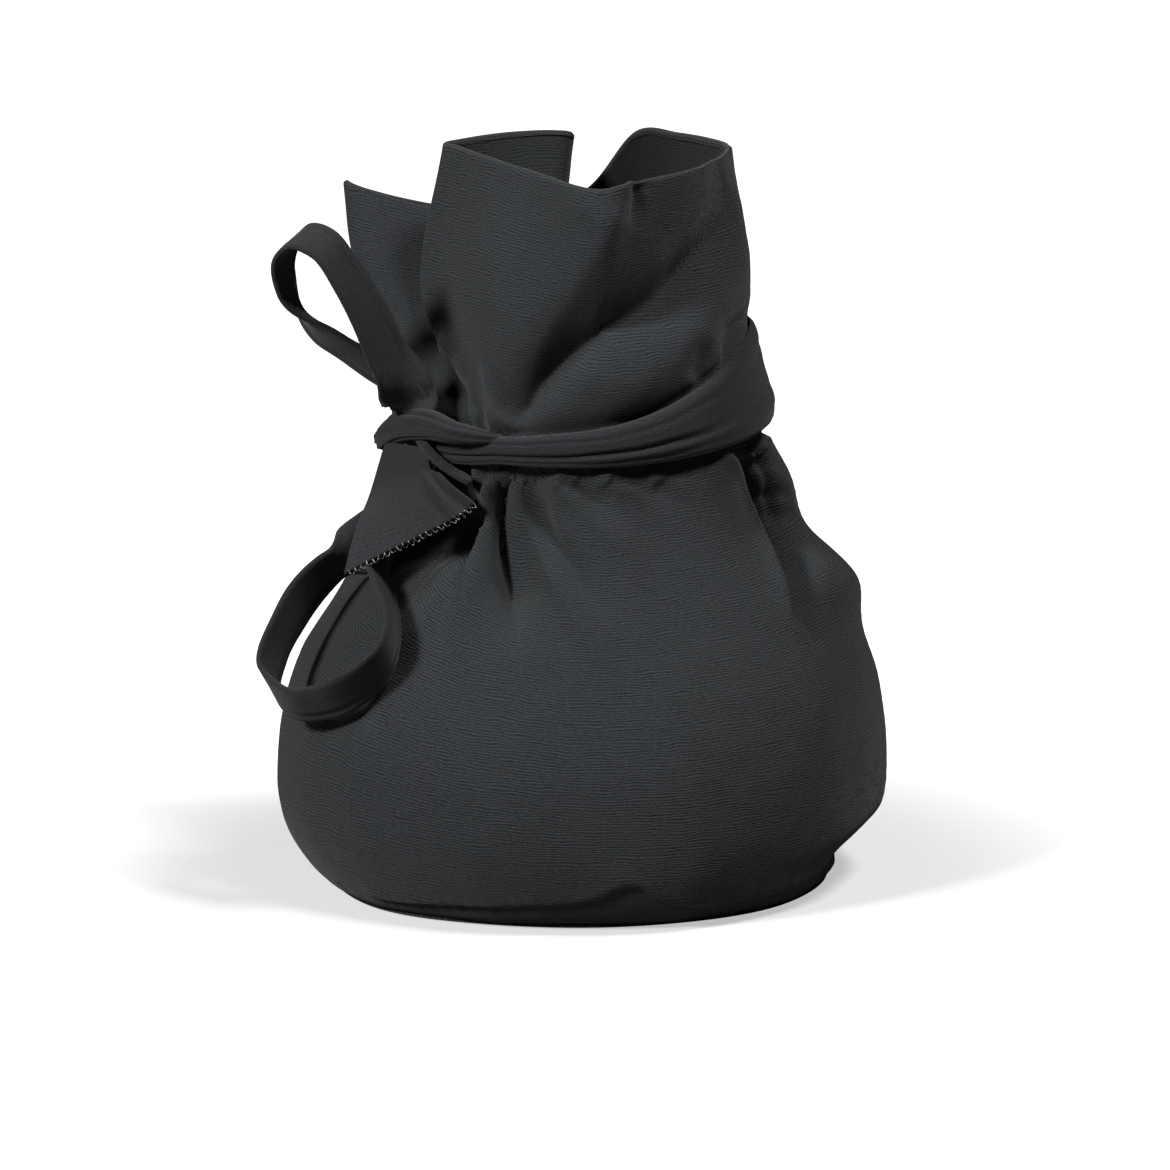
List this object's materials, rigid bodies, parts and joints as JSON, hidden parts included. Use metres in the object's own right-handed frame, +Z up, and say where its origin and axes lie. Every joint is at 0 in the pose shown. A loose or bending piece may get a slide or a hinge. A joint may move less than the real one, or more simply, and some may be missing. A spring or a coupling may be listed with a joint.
{
  "type": "drawstring pouch",
  "caption": "Lined cloth pouch with a round base, gathered at the neck by a folded cloth tie in a bow, with a flared open collar.",
  "frame": {"origin": "on the ground under the middle of the pouch, on the underside of its base", "axes": "+Z up through the mouth, -Y towards the front, +X to the right as one faces the front, the bow at the front left"},
  "size_m": [0.1633, 0.1586, 0.1941],
  "materials": {
    "outer_cloth": "matt",
    "lining_cloth": "matt",
    "tie_cloth": "matt"
  },
  "bodies": {
    "pouch": {"outer_front_panel": "outer_cloth", "outer_back_panel": "outer_cloth", "outer_base_panel": "outer_cloth", "lining_front_panel": "lining_cloth", "lining_back_panel": "lining_cloth", "lining_base_panel": "lining_cloth", "neck_band": "tie_cloth", "bow_knot": "tie_cloth"},
    "upper_loop": {"bow_upper_loop": "tie_cloth"},
    "lower_loop": {"bow_lower_loop": "tie_cloth"},
    "tail": {"tie_tail": "tie_cloth"}
  },
  "joints": [
    {"name": "upper_loop_lean", "type": "hinge", "parent": "pouch", "child": "upper_loop", "pos_m": [-0.04327, -0.02823, 0.1241], "axis": [0.5878, -0.809, 0], "range_deg": [-20, 30]},
    {"name": "lower_loop_lift", "type": "hinge", "parent": "pouch", "child": "lower_loop", "pos_m": [-0.04263, -0.02912, 0.1237], "axis": [-0.5878, 0.809, 0], "range_deg": [0, 45]},
    {"name": "tail_lift", "type": "hinge", "parent": "lower_loop", "child": "tail", "pos_m": [-0.04599, -0.02909, 0.1164], "axis": [-0.5878, 0.809, 0], "range_deg": [0, 30]}
  ]
}
